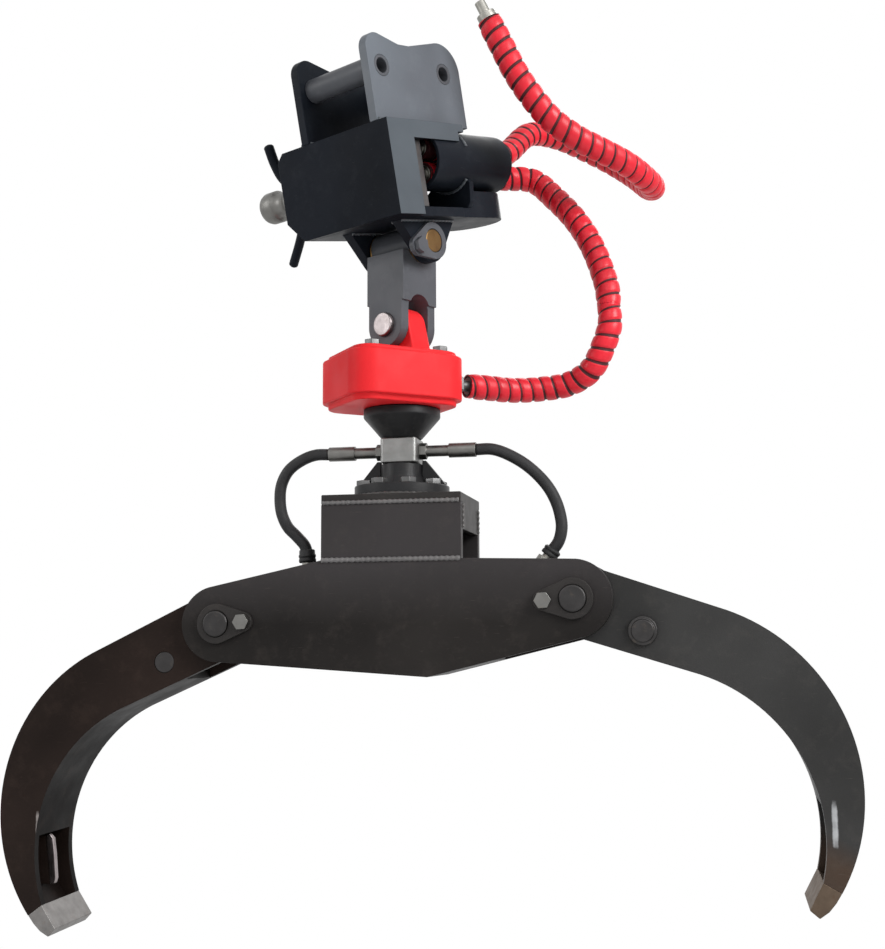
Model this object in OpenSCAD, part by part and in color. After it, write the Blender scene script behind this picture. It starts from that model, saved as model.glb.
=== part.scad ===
// Rotating log grapple for a small excavator, in millimetres.
// Z runs up the rotator's axis, X along the jaw's span, and Y to the back.
// The origin is the centre of the front hitch bar, which the machine holds.

/* [Hitch head] */
// Outer width over the two ears, along the hitch bars
ear_span = 130; // [120:1:150]
// Thickness of an ear plate
ear_t = 12; // [8:1:16]
// Length of an ear plate
ear_len = 173; // [165:1:190]
// Height of an ear above the box
ear_rise = 106; // [95:1:120]
// Distance between the two hitch bars
bar_pitch = 116; // [100:1:124]
// Diameter of a hitch bar
bar_d = 30; // [25:1:36]
// Bore of a hollow hitch bar
bar_bore_d = 18; // [10:1:22]
// Length of the box along the hitch bars
box_len = 192; // [170:1:210]
// Depth of the box across the hitch bars
box_depth = 144; // [130:1:160]
// Height of the box
box_rise = 115; // [105:1:125]
// Thickness of the box plates
box_t = 10; // [6:1:12]
// Diameter of the hose sleeve
sleeve_d = 74; // [70:1:80]
// Length of the hose sleeve
sleeve_len = 150; // [120:1:170]
// Turn of the head about the rotator's axis, as stored
head_yaw = -29; // [-60:1:30]
// Lean of the head about the upper pin, as stored
head_lean = 13; // [0:1:16]

/* [Link] */
// Width of the link block, square in plan
link_w = 62; // [56:1:68]
// Distance between the upper and the lower pin
link_pitch = 104; // [100:1:120]
// Diameter of the link's two pins
link_pin_d = 30; // [25:1:32]

/* [Rotator] */
// Length of the rotator housing
rotator_len = 152; // [145:1:165]
// Width of the rotator housing
rotator_w = 132; // [120:1:140]
// Height of the rotator housing
rotator_h = 68; // [60:1:80]
// Diameter of the rotor where it leaves the housing
rotor_d = 96; // [84:1:100]
// Diameter of the mast under the rotor
mast_d = 52; // [46:1:58]

/* [Body] */
// Distance from the middle of the body to each arm pivot
pivot_half = 217; // [205:1:230]
// Slope of the line through the pivots
pivot_tilt = 3.4; // [0:0.1:5]
// Clear gap between the two body plates
body_gap = 100; // [96:1:110]
// Thickness of a body plate
body_t = 12; // [8:1:15]
// Radius of the body plate round a pivot
body_boss_r = 46; // [42:1:50]
// Width of the tower
tower_w = 172; // [150:1:190]
// Height of the tower's top above the pivots
tower_top = 141; // [136:1:160]
// Diameter of an arm's pivot pin
pivot_d = 32; // [28:1:35]

/* [Arms] */
// Width of an arm
arm_w = 98; // [90:0.5:99]
// Thickness of an arm's side plate
arm_t = 10; // [6:1:12]
// Thickness of an arm's inner and outer webs
web_t = 8; // [5:1:10]
// Radius of the arm round its pivot
arm_boss_r = 42; // [38:1:45]
// Radius of the arm's back
arm_outer_r = 215; // [210:1:222]
// Radius of the arm's inner curve
arm_inner_r = 190; // [184:1:194]
// Length of the bare steel tip
tip_len = 37; // [30:1:42]
// Distance from an arm's pivot to its cylinder pin
lever_r = 62; // [58:1:66]

/* [Cylinder] */
// Outer diameter of the barrel
barrel_d = 55; // [50:1:60]
// Bore of the barrel
barrel_bore_d = 42; // [36:1:44]
// Diameter of the rod
rod_d = 25; // [20:1:28]
// Diameter of the cylinder pins
cyl_pin_d = 24; // [20:1:26]

/* [Hoses] */
// Outer diameter of the red spiral guard
guard_d = 30; // [26:1:32]
// Pitch of the guard's turns
guard_pitch = 17; // [16:1:20]
// Outer diameter of a black cylinder hose
hose_d = 15; // [12:1:16]

/* [Hidden] */
$fn = 64;

// Overrun of every cut past the face that it opens
cut = 1;
// Radial clearance of a pin that turns in its bush
running = 0.05;
// Radial clearance of a piece that sits fixed in a hole
seat = 0.03;
// Side gap between pieces that turn against each other
side_gap = 1;
// Overlap of straight sides with the circle that they touch
tuck = 0.05;

// Places on the head, measured from the upper pin
box_bottom = 27;
box_top = box_bottom + box_rise;
box_left = -112;
box_right = box_left + box_len;
box_front = -84;
box_back = box_front + box_depth;
ear_front = -84;
ear_peak_r = 20;
ear_back_r = 36;
ear_dip = 10;
bar_rise = 67;
spigot_step = 4;
spigot_d = bar_d - spigot_step;
bar_z = box_top + bar_rise;
bar_front_y = -60;
bar_rear_y = bar_front_y + bar_pitch;
sleeve_x = 45;
sleeve_y = 2;
sleeve_drop = 3;
sleeve_z = box_top - sleeve_d / 2 - sleeve_drop;
sleeve_t = 5;
base_t = 12;
base_skirt = 34;
base_skirt_t = 8;
base_reach = 158;
base_half = 44;
base_x = 24;
box_chamfer = 26;
window_band = 22;
window_post = 46;
back_wall_reach = -22;
lock_pin_y = -30;
lock_pin_z = 92;
lock_pin_d = 24;
lock_hub_d = 34;
lock_hub_len = 32;
lock_pin_in = 60;
handle_d = 9;
handle_len = 150;
handle_tilt = 14;
manifold_x0 = 12;
manifold_x1 = 68;
manifold_y0 = -40;
manifold_top = 130;

// Places on the link and the lugs
lug_t = 14;
lug_r = 26;
link_eye_r = 24;
link_fork_r = 28;
link_fork_gap = 36;
bush_t = 4;
flange_t = 3;
flange_rim = 5;
lower_pin_z = 356;
upper_pin_z = lower_pin_z + link_pitch;

// Places on the rotator
lug_axis_rise = 36;
rotator_top = lower_pin_z - lug_axis_rise;
rotator_bottom = rotator_top - rotator_h;
rotator_yaw = 39;
rotator_shift = -14;
rotator_corner = 30;
cap_t = 6;
cap_inset = 7;
rotor_bore_d = 70;
rotor_bore_depth = 48;
rotor_lip = 5;
neck_d = 50;
cone_h = 37;

// Places on the mast and the tower
tee_w = 46;
tee_h = 32;
flange_h = 14;
mast_flange_d = 118;
mast_bolt_pcd = 94;
mast_bolt_count = 8;
mast_bolt_d = 12;
tower_t = 10;
tower_foot = 97;
tower_shoulder = 62;

// Places of the pivots in the body's own frame
pivot_right = [pivot_half * cos(pivot_tilt), pivot_half * sin(pivot_tilt)];
pivot_left = -pivot_right;
low_point = [44, -77];
floor_t = 10;
floor_half = 120;
rib_t = 10;
rib_x = 62;
rib_top = -16;
body_half = body_gap / 2 + body_t;
keeper_reach = 34;
keeper_t = 6;
keeper_bolt_d = 12;
keeper_bolt_h = 7;

// Shape of an arm, measured from its pivot with the jaw open
arm_outer_at = [86, -222];
arm_inner_at = [66, -272];
tip_angle = -33;
tip_sweep = tip_len / arm_outer_r * 180 / PI;
tip_thin = 9;
lever_angle = 155;
lever_eye_r = 24;
lever_at = lever_r * [cos(lever_angle), sin(lever_angle)];
cross_pin_at = [76, -42];
cross_pin_d = 26;
pivot_bush_t = 4;
boss_tube_r = 30;
web_start = 52;
web_low = -245;
wedge_lap = 10;
far = 2 * arm_outer_r;

// Sizes along the cylinder, in the line of the pivots
cyl_half = pivot_half + lever_at[0];
eye_r = 21;
eye_w = 56;
gland_len = 22;
gland_gap = 6;
barrel_end = cyl_half - eye_r - gland_gap - gland_len;
base_cap = 12;
piston_len = 24;
piston_gap = 14;
port_d = 22;
port_h = 14;
port_left_x = -118;
rod_port_tilt = 40;

// Directions and small functions
function unit(a) = [cos(a), sin(a)];
function angle_of(p) = atan2(p[1], p[0]);
function turn_x(p, a) = [p[0], p[1] * cos(a) - p[2] * sin(a), p[1] * sin(a) + p[2] * cos(a)];
function turn_z(p, a) = [p[0] * cos(a) - p[1] * sin(a), p[0] * sin(a) + p[1] * cos(a), p[2]];
// A point of the head in the body's frame
function head_point(p) = turn_z(turn_x(p, head_lean), head_yaw) + [0, 0, upper_pin_z];
// A point of the body's XZ plane from one on the line of the pivots
function tilted(p) = [
    p[0] * cos(pivot_tilt) - p[1] * sin(pivot_tilt),
    p[0] * sin(pivot_tilt) + p[1] * cos(pivot_tilt)
];
// The point where a line from q touches a circle at c; side is 1 or -1
function touch(q, c, r, side) = c + (r - tuck) * unit(angle_of(q - c) + side * acos(r / norm(q - c)));
front_bar_at = head_point([0, bar_front_y, bar_z]);
// Directions of the arm's straight sides, which touch the boss and the two big circles
back_way = angle_of(arm_outer_at) + asin((arm_outer_r - arm_boss_r) / norm(arm_outer_at));
belly_way = angle_of(arm_inner_at) + asin((arm_inner_r + arm_boss_r) / norm(arm_inner_at));
neck_lap = 3;
neck_x = arm_boss_r * cos(belly_way - 90) + neck_lap;

// Small fittings
manifold_y1 = -14;
hose_gap = 3;
hose_off = (guard_d + hose_gap) / 2;
fitting_d = 14;
fitting_len = 26;
nut_t = 9;
ferrule_len = 34;
seat_len = 24;
pin_proud = 6;
pin_cap_ratio = 1.3;
hex_ratio = 1.7;
nut_ratio = 1.5;
tee_corner = 5;
mast_step = 5;
keeper_drop = 6;
nipple_d = 9;
nipple_drop = 8;
lug_w = link_fork_gap - 2 * side_gap;
slot_rise = lug_r + side_gap - sqrt(link_fork_gap * link_fork_gap - lug_w * lug_w) / 2;
port_axis_z = 286;
port_y = -20;
port_neck = 20;
manifold_neck = 24;
tee_reach = 94;
boss_rise = 4;
slide_gap = 0.3;
touch_gap = 0.3;

// Hose routes in the body's frame, chosen by hand; they keep their places
hose_up = [0.2, -1, 0.1];
guard_bore_d = 24;
sweep_sides = 8;
ferrule_d = guard_bore_d * cos(180 / sweep_sides) - 4 * running;
rib_h = 2;
hose_steps = 2;
straight_in = 45;
straight_up = 30;
straight_low = 22;
port_straight = 32;
seam_straight = 22;
seam_gap = 0.8;
port_rise = 18;
port_lean = 3;
hose_seat_y = manifold_y1 + manifold_neck;
sleeve_mouth_y = sleeve_y + sleeve_len;
upper_z = sleeve_z + hose_off;
lower_z = sleeve_z - hose_off;
upper_route = concat(
    [for (y = [
        hose_seat_y, hose_seat_y + straight_in, sleeve_mouth_y - straight_in, sleeve_mouth_y,
        sleeve_mouth_y + straight_up
    ]) head_point([sleeve_x, y, upper_z])],
    [
        [147, 171, 666], [180, 209, 671], [216, 238, 661], [251, 243, 641], [283, 222, 611],
        [304, 188, 582], [312, 147, 568], [304, 105, 566], [283, 69, 574], [254, 42, 584],
        [224, 19, 595], [195, 1, 614], [171, -13, 642], [151, -21, 674], [136, -27, 706],
        [121, -33, 738]
    ]
);
lower_middle = [254, 86, 392];
seam_to = [3, -6, -50];
seam_way = seam_to / norm(seam_to);
lower_route_head = concat(
    [for (y = [
        hose_seat_y, hose_seat_y + straight_in, sleeve_mouth_y - straight_in, sleeve_mouth_y,
        sleeve_mouth_y + straight_low
    ]) head_point([sleeve_x, y, lower_z])],
    [
        [152, 130, 583], [182, 122, 554], [208, 112, 522], [231, 103, 482], [246, 95, 441],
        lower_middle - seam_straight * seam_way, lower_middle
    ]
);
port_end = turn_z(
    [rotator_shift + rotator_len / 2 + port_neck, port_y, port_axis_z], rotator_yaw
);
port_way = turn_z([1, 0, 0], rotator_yaw);
lower_route_rotator = concat(
    [for (along = [seam_gap, seam_straight]) lower_middle + along * seam_way],
    [[246, 84, 340], [229, 91, 311], [201, 100, 296], [166, 97, 290]],
    [for (along = [2 * port_straight, port_straight, 0]) port_end + along * port_way]
);
tee_side_z = rotator_bottom - cone_h - tee_h / 2;
port_top = lever_at[1] + barrel_d / 2 + boss_rise + port_h + touch_gap;
port_left_at = tilted([port_left_x, port_top]);
rod_port_way = [sin(rod_port_tilt), cos(rod_port_tilt)];
port_right_at = tilted(
    [cyl_half, lever_at[1]] + (eye_r + boss_rise + port_h + touch_gap) * rod_port_way
);
port_right_way = tilted(rod_port_way);
hose_left_route = [
    [-tee_reach - touch_gap, 0, tee_side_z], [-112, 0, 199], [-132, 0, 192], [-148, 0, 180],
    [-157, 0, 163], [-159, 0, 143], [-156, 0, 124], [-148, 0, 108], [-136, 0, 96],
    [port_left_at[0] - port_lean, 0, port_left_at[1] + port_rise],
    [port_left_at[0] - port_lean / 6, 0, port_left_at[1] + port_rise / 2],
    [port_left_at[0], 0, port_left_at[1]]
];
hose_right_route = [
    [tee_reach + touch_gap, 0, tee_side_z], [112, 0, 199], [142, 0, 187], [167, 0, 168], [186, 0, 144],
    [196, 0, 118], [198, 0, 99],
    for (along = [port_rise, port_rise / 2, 0])
        [port_right_at[0] + along * port_right_way[0], 0, port_right_at[1] + along * port_right_way[1]]
];

// Frames
module in_row() {
    translate(-front_bar_at) children();
}

module at_link() {
    in_row() translate([0, 0, upper_pin_z]) rotate([0, 0, head_yaw]) children();
}

module at_head() {
    at_link() rotate([head_lean, 0, 0]) children();
}

module at_lower_pin() {
    at_link() translate([0, 0, -link_pitch]) children();
}

module on_pivot_line() {
    in_row() rotate([0, -pivot_tilt, 0]) children();
}

module at_arm(side) {
    on_pivot_line() scale_side(side) translate([pivot_half, 0, 0]) children();
}

module scale_side(side) {
    if (side < 0) mirror([1, 0, 0]) children();
    else children();
}

// Round bars and tubes along each axis, centred on the origin
module bar_x(d, len) {
    rotate([0, 90, 0]) cylinder(d = d, h = len, center = true);
}

module bar_y(d, len) {
    rotate([90, 0, 0]) cylinder(d = d, h = len, center = true);
}

module tube_x(d, bore, len) {
    difference() {
        bar_x(d, len);
        bar_x(bore, len + 2 * cut);
    }
}

module tube_y(d, bore, len) {
    difference() {
        bar_y(d, len);
        bar_y(bore, len + 2 * cut);
    }
}

module block(low, high) {
    translate(low) cube(high - low);
}

// A flat outline in the XZ plane, from y0 back to y1
module plate_xz(y0, y1) {
    translate([0, y1, 0]) rotate([90, 0, 0]) linear_extrude(y1 - y0) children();
}

// A flat outline in the YZ plane, from x0 right to x1
module plate_yz(x0, x1) {
    translate([x0, 0, 0]) rotate([90, 0, 90]) linear_extrude(x1 - x0) children();
}

module rounded(len, w, r) {
    square([len - 2 * r, w], center = true);
    square([len, w - 2 * r], center = true);
    for (x = [-1, 1], y = [-1, 1])
        translate([x * (len / 2 - r), y * (w / 2 - r)]) circle(r);
}

// Two circles and the straight sides that touch both
module belt(c1, r1, c2, r2) {
    lean = acos((r1 - r2) / norm(c2 - c1));
    way = angle_of(c2 - c1);
    translate(c1) circle(r1);
    translate(c2) circle(r2);
    polygon([
        c1 + (r1 - tuck) * unit(way - lean), c2 + (r2 - tuck) * unit(way - lean),
        c2 + (r2 - tuck) * unit(way + lean), c1 + (r1 - tuck) * unit(way + lean)
    ]);
}

module hex_bolt(d, head_h, shank) {
    cylinder(d = hex_ratio * d, h = head_h, $fn = 6);
    translate([0, 0, -shank]) cylinder(d = d, h = shank + head_h / 2);
}

// Head
module ear_outline() {
    ear_back = ear_front + ear_len;
    top = box_top + ear_rise;
    peak = [ear_front + ear_peak_r, top - ear_peak_r];
    back = [ear_back - ear_back_r, top - ear_back_r];
    dip = [peak[0] + 2 * ear_peak_r, top - ear_dip];
    dip_back = [dip[0] + ear_peak_r, top - ear_dip];
    difference() {
        union() {
            translate(peak) circle(ear_peak_r);
            translate(back) circle(ear_back_r);
            polygon([
                [ear_back - tuck, box_top], [ear_back - tuck, back[1]],
                touch(dip_back, back, ear_back_r, -1), dip_back, dip, touch(dip, peak, ear_peak_r, 1),
                [ear_front + tuck, peak[1]], [ear_front + tuck, box_top]
            ]);
        }
        for (y = [bar_front_y, bar_rear_y]) translate([y, bar_z]) circle(d = spigot_d + 2 * seat);
    }
}

module ear(side) {
    outer = side * ear_span / 2;
    inner = outer - side * ear_t;
    at_head() plate_yz(min(outer, inner), max(outer, inner)) ear_outline();
}

module head_ear_right() {
    color("slategray") ear(1);
}

module head_ear_left() {
    color("slategray") ear(-1);
}

module hitch_bar(y) {
    at_head() translate([0, y, bar_z]) difference() {
        union() {
            bar_x(bar_d, ear_span - 2 * ear_t - 2 * seat);
            bar_x(spigot_d, ear_span);
        }
        bar_x(bar_bore_d, ear_span + 2 * cut);
    }
}

module hitch_bar_front() {
    color("dimgray") hitch_bar(bar_front_y);
}

module hitch_bar_rear() {
    color("dimgray") hitch_bar(bar_rear_y);
}

module box_front_outline() {
    polygon([
        [box_left + box_chamfer, box_bottom], [box_right, box_bottom], [box_right, box_top],
        [box_left + box_t, box_top], [box_left, box_top - box_t],
        [box_left, box_bottom + box_chamfer]
    ]);
}

module head_box() {
    color("darkslategray") at_head() difference() {
        plate_xz(box_front, box_back) box_front_outline();
        block(
            [box_left + box_t, box_front + box_t, box_bottom - cut],
            [box_right - box_t, box_back - box_t, box_top - box_t]
        );
        // window in the right side and the back, where the hoses come out
        block(
            [box_right - box_t - cut, box_front + window_post, box_bottom - cut],
            [box_right + cut, box_back + cut, box_top - window_band]
        );
        block(
            [back_wall_reach, box_back - box_t - cut, box_bottom - cut],
            [box_right + cut, box_back + cut, box_top - box_t]
        );
        translate([sleeve_x, box_back, sleeve_z]) bar_y(sleeve_d + 2 * seat, sleeve_len);
        translate([box_left, lock_pin_y, lock_pin_z]) bar_x(lock_pin_d + 2 * seat, 3 * box_t);
    }
}

module base_end(inset) {
    belt(
        [base_x, base_reach - base_half], base_half - inset,
        [base_x, box_back], base_half - inset
    );
}

module head_base() {
    color("darkslategray") at_head() translate([0, 0, box_bottom]) {
        linear_extrude(base_t) {
            base_end(0);
            translate([box_left + box_chamfer, box_front + box_t + seat])
                square([
                    box_right - box_t - seat - box_left - box_chamfer,
                    box_depth - 2 * box_t - 2 * seat
                ]);
        }
        linear_extrude(base_skirt) difference() {
            base_end(0);
            base_end(base_skirt_t);
            translate([box_left, box_front]) square([box_len + base_reach, box_depth + base_skirt_t]);
        }
    }
}

module lug_outline() {
    top = box_bottom;
    foot = 2 * lug_r;
    right = touch([foot, top], [0, 0], lug_r, -1);
    circle(lug_r);
    polygon([[foot, top], [-foot, top], [-right[0], right[1]], [0, 0], right]);
}

module head_lugs() {
    color("darkslategray") at_head() for (side = [-1, 1]) {
        inner = link_w / 2 + flange_t + side_gap;
        plate_yz(side > 0 ? inner : -inner - lug_t, side > 0 ? inner + lug_t : -inner)
            difference() {
                lug_outline();
                circle(d = link_pin_d + 2 * seat);
            }
    }
}

module hose_sleeve() {
    color("darkslategray") at_head() translate([sleeve_x, sleeve_y + sleeve_len / 2, sleeve_z])
        tube_y(sleeve_d, sleeve_d - 2 * sleeve_t, sleeve_len);
}

module manifold_block() {
    color("gray") at_head() block(
        [manifold_x0, manifold_y0, box_bottom + base_t],
        [manifold_x1, manifold_y1, manifold_top]
    );
}

// A hose end: nut, neck, and the ferrule inside the guard, along Z
module hose_end(neck) {
    cylinder(d = guard_d, h = nut_t, $fn = 6);
    cylinder(d = fitting_d, h = neck);
    translate([0, 0, neck]) cylinder(d = ferrule_d, h = seat_len);
}

module manifold_fittings() {
    color("silver") at_head() for (side = [-1, 1])
        translate([sleeve_x, manifold_y1, sleeve_z + side * hose_off]) rotate([-90, 0, 0])
            hose_end(manifold_neck);
}

module upper_pin() {
    reach = link_w / 2 + flange_t + side_gap + lug_t + pin_proud;
    color("silver") at_head() bar_x(link_pin_d, 2 * reach);
}

module upper_pin_keeper() {
    outer = link_w / 2 + flange_t + side_gap + lug_t;
    color("silver") at_head() {
        plate_yz(outer, outer + keeper_t) difference() {
            belt([0, 0], link_pin_d / 2 + 2 * bush_t, [-link_pin_d, -keeper_drop], keeper_bolt_d);
            circle(d = link_pin_d + 2 * seat);
            translate([-link_pin_d, -keeper_drop]) circle(d = keeper_bolt_d + 2 * seat);
        }
        translate([outer + keeper_t, -link_pin_d, -keeper_drop]) rotate([0, 90, 0])
            hex_bolt(keeper_bolt_d, keeper_bolt_h, keeper_t);
    }
}

module lock_pin() {
    color("silver") at_head() translate([box_left, lock_pin_y, lock_pin_z]) {
        rotate([0, 90, 0]) cylinder(d = lock_pin_d, h = lock_pin_in);
        difference() {
            rotate([0, -90, 0]) cylinder(d = lock_hub_d, h = lock_hub_len);
            translate([-lock_hub_len / 2, 0, 0]) rotate([handle_tilt, 0, 0])
                cylinder(d = handle_d + 2 * seat, h = lock_hub_d + 2 * cut, center = true);
        }
    }
}

module lock_pin_handle() {
    color("gray") at_head() translate([box_left - lock_hub_len / 2, lock_pin_y, lock_pin_z])
        rotate([handle_tilt, 0, 0]) cylinder(d = handle_d, h = handle_len, center = true);
}

// Hoses: a tube swept along points, plain or with ribs
function spline_point(a, b, c, d, t) =
    let (
        l1 = norm(b - a), l2 = norm(c - b), l3 = norm(d - c),
        m1 = l2 * ((b - a) / l1 - (c - a) / (l1 + l2) + (c - b) / l2),
        m2 = l2 * ((c - b) / l2 - (d - b) / (l2 + l3) + (d - c) / l3)
    )
    b + m1 * t + (3 * (c - b) - 2 * m1 - m2) * t * t + (m1 + m2 - 2 * (c - b)) * t * t * t;
function smooth(p, steps) = [
    for (i = [0 : len(p) - 2], s = [0 : steps - 1])
        spline_point(
            i == 0 ? 2 * p[0] - p[1] : p[i - 1], p[i], p[i + 1],
            i + 2 < len(p) ? p[i + 2] : 2 * p[i + 1] - p[i], s / steps
        ),
    p[len(p) - 1]
];
function length_to(p, i) = i == 0 ? 0 : norm(p[i] - p[i - 1]) + length_to(p, i - 1);
// Two rings to a turn of the guard, shared out evenly between the route's points
function steps_for(p) = round(2 * length_to(p, len(p) - 1) / guard_pitch / (len(p) - 1));
function way(p, i) =
    let (v = p[min(i + 1, len(p) - 1)] - p[max(i - 1, 0)]) v / norm(v);
function ring(p, i, r, sides) =
    let (t = way(p, i), u0 = cross(t, hose_up), u = u0 / norm(u0), v = cross(t, u))
    [for (k = [0 : sides - 1]) p[i] + r * (u * cos(360 * k / sides) + v * sin(360 * k / sides))];
function band(a, b, sides, flip) = [
    for (k = [0 : sides - 1])
        let (n = (k + 1) % sides)
        each flip
            ? [[a + k, b + k, b + n], [a + k, b + n, a + n]]
            : [[a + k, b + n, b + k], [a + k, a + n, b + n]]
];

module hose(route, d, steps) {
    sides = sweep_sides;
    p = smooth(route, steps);
    last = len(p) - 1;
    points = [for (i = [0 : last]) each ring(p, i, d / 2, sides)];
    sleeve = [for (i = [0 : last - 1]) each band(i * sides, (i + 1) * sides, sides, false)];
    cap_a = [for (k = [1 : sides - 2]) [0, k + 1, k]];
    cap_b = [for (k = [1 : sides - 2]) [last * sides, last * sides + k, last * sides + k + 1]];
    polyhedron(points, concat(sleeve, cap_a, cap_b), convexity = 8);
}

// A ribbed guard with its bore: two outer rings to a rib, and a smooth inner wall
module guard(route) {
    sides = sweep_sides;
    p = smooth(route, steps_for(route));
    last = len(p) - 1;
    outer = [
        for (i = [0 : last])
            let (rib = i % 2 == 1 && i > 1 && i < last - 1)
            each ring(p, i, rib ? guard_d / 2 : guard_d / 2 - rib_h, sides)
    ];
    inner = [for (i = [0 : last]) each ring(p, i, guard_bore_d / 2, sides)];
    shift = (last + 1) * sides;
    polyhedron(concat(outer, inner), concat(
        [for (i = [0 : last - 1]) each band(i * sides, (i + 1) * sides, sides, false)],
        [for (i = [0 : last - 1]) each band(shift + i * sides, shift + (i + 1) * sides, sides, true)],
        band(0, shift, sides, true),
        band(last * sides, shift + last * sides, sides, false)
    ), convexity = 8);
}

module guard_hose_upper() {
    color("red") in_row() guard(upper_route);
}

module guard_hose_head() {
    color("red") in_row() guard(lower_route_head);
}

module guard_hose_rotator() {
    color("red") in_row() guard(lower_route_rotator);
}

module hose_end_fitting() {
    end = upper_route[len(upper_route) - 1];
    v = end - upper_route[len(upper_route) - 2];
    color("silver") in_row() translate(end)
        rotate([0, acos(v[2] / norm(v)), atan2(v[1], v[0])]) {
            translate([0, 0, -seat_len]) cylinder(d = ferrule_d, h = seat_len);
            cylinder(d = ferrule_d + flange_t, h = nut_t);
            cylinder(d = fitting_d, h = fitting_len);
        }
}

// Link
module link_block() {
    color("lightslategray") at_link() difference() {
        union() {
            bar_x(2 * link_eye_r, link_w);
            block(
                [-link_w / 2, -link_w / 2, -link_pitch + link_fork_r],
                [link_w / 2, link_w / 2, -link_eye_r / 2]
            );
            plate_xz(-link_w / 2, link_w / 2)
                belt([0, -link_pitch], link_fork_r, [0, -link_pitch + link_fork_r], link_fork_r);
        }
        bar_x(link_pin_d + 2 * bush_t, link_w + 2 * cut);
        translate([0, 0, -link_pitch]) bar_y(link_pin_d + 2 * seat, link_w + 2 * cut);
        plate_yz(-link_w, link_w) {
            translate([0, -link_pitch + slot_rise]) circle(d = link_fork_gap);
            translate([-link_fork_gap / 2, -2 * link_pitch])
                square([link_fork_gap, link_pitch + slot_rise]);
        }
    }
}

module link_upper_bushes() {
    color("goldenrod") at_link() for (side = [-1, 1]) scale_side(side) {
        translate([link_w / 4, 0, 0])
            tube_x(link_pin_d + 2 * bush_t - 2 * seat, link_pin_d + 2 * running, link_w / 2 - side_gap);
        translate([(link_w + flange_t) / 2, 0, 0])
            tube_x(link_pin_d + 2 * bush_t + 2 * flange_rim, link_pin_d + 2 * running, flange_t);
    }
}

module link_lower_bushes() {
    color("goldenrod") at_lower_pin()
        tube_y(link_pin_d + 2 * bush_t - 2 * seat, link_pin_d + 2 * running, lug_w);
}

module lower_pin() {
    color("silver") at_lower_pin() bar_y(link_pin_d, link_w + 2 * pin_proud);
}

module grease_nipples() {
    high = -link_eye_r - nipple_drop;
    low = -link_pitch + slot_rise + link_fork_gap;
    color("goldenrod") at_link() for (z = [low, high])
        translate([-link_w / 2, 0, z]) rotate([0, -90, 0]) {
            cylinder(d = nipple_d, h = nipple_d / 2, $fn = 6);
            cylinder(d = nipple_d / 2, h = nipple_d);
        }
}

// Rotator
module at_rotator() {
    in_row() rotate([0, 0, rotator_yaw]) translate([rotator_shift, 0, 0]) children();
}

module rotator_housing() {
    lip = cap_inset;
    color("red") difference() {
        at_rotator() {
            translate([0, 0, rotator_bottom + lip]) linear_extrude(rotator_h - lip - cap_t)
                rounded(rotator_len, rotator_w, rotator_corner);
            translate([0, 0, rotator_bottom]) linear_extrude(lip)
                rounded(rotator_len - 2 * lip, rotator_w - 2 * lip, rotator_corner - lip);
            translate([0, 0, rotator_top - cap_t]) linear_extrude(cap_t)
                rounded(rotator_len - 2 * lip, rotator_w - 2 * lip, rotator_corner - lip);
        }
        in_row() translate([0, 0, rotator_bottom - cut])
            cylinder(d = rotor_bore_d + 2 * running, h = rotor_bore_depth + cut);
    }
}

module rotator_lug() {
    base = lug_w;
    tip = touch([base, -lug_axis_rise + cap_t], [0, 0], lug_r, 1);
    color("red") at_lower_pin() difference() {
        plate_xz(-lug_w / 2, lug_w / 2) difference() {
            union() {
                circle(lug_r);
                polygon([
                    [base, -lug_axis_rise], [base, -lug_axis_rise + cap_t], tip, [0, 0],
                    [-tip[0], tip[1]], [-base, -lug_axis_rise + cap_t], [-base, -lug_axis_rise]
                ]);
            }
            circle(d = link_pin_d + 2 * bush_t);
        }
    }
}

module rotator_bolts() {
    color("silver") at_rotator() for (x = [-1, 1], y = [-1, 1])
        translate([
            x * (rotator_len / 2 - rotator_corner), y * (rotator_w / 2 - rotator_corner + cap_inset),
            rotator_top
        ]) cylinder(d = hex_ratio * mast_bolt_d, h = keeper_bolt_h, $fn = 6);
}

module rotator_ports() {
    color("silver") at_rotator() translate([rotator_len / 2, port_y, port_axis_z])
        rotate([0, 90, 0]) hose_end(port_neck);
}

module rotor() {
    color("dimgray") in_row() rotate_extrude() polygon([
        [0, rotator_bottom - cone_h], [neck_d / 2, rotator_bottom - cone_h],
        [rotor_d / 2, rotator_bottom - rotor_lip - side_gap / 2 - rotor_lip],
        [rotor_d / 2, rotator_bottom - side_gap / 2], [rotor_bore_d / 2, rotator_bottom - side_gap / 2],
        [rotor_bore_d / 2, rotator_bottom + rotor_bore_depth - side_gap],
        [0, rotator_bottom + rotor_bore_depth - side_gap]
    ]);
}

// Mast and tower
module hose_tee() {
    top = rotator_bottom - cone_h;
    color("gainsboro") in_row() {
        translate([0, 0, top - tee_h]) linear_extrude(tee_h) rounded(tee_w, tee_w, tee_corner);
    }
}

module tee_fittings() {
    z = rotator_bottom - cone_h - tee_h / 2;
    color("silver") in_row() for (side = [-1, 1]) translate([side * tee_w / 2, 0, z])
        rotate([0, side * 90, 0]) {
            cylinder(d = nut_ratio * fitting_d, h = nut_t, $fn = 6);
            cylinder(d = fitting_d, h = tee_reach - tee_w / 2);
            translate([0, 0, tee_reach - tee_w / 2 - ferrule_len]) cylinder(d = hose_d + flange_t, h = ferrule_len);
        }
}

module mast() {
    top = rotator_bottom - cone_h - tee_h;
    color("dimgray") in_row() rotate_extrude() polygon([
        [0, tower_top], [mast_flange_d / 2, tower_top], [mast_flange_d / 2, tower_top + flange_h],
        [mast_d / 2 + mast_step, tower_top + flange_h], [mast_d / 2, tower_top + 2 * flange_h],
        [mast_d / 2, top], [0, top]
    ]);
}

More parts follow.
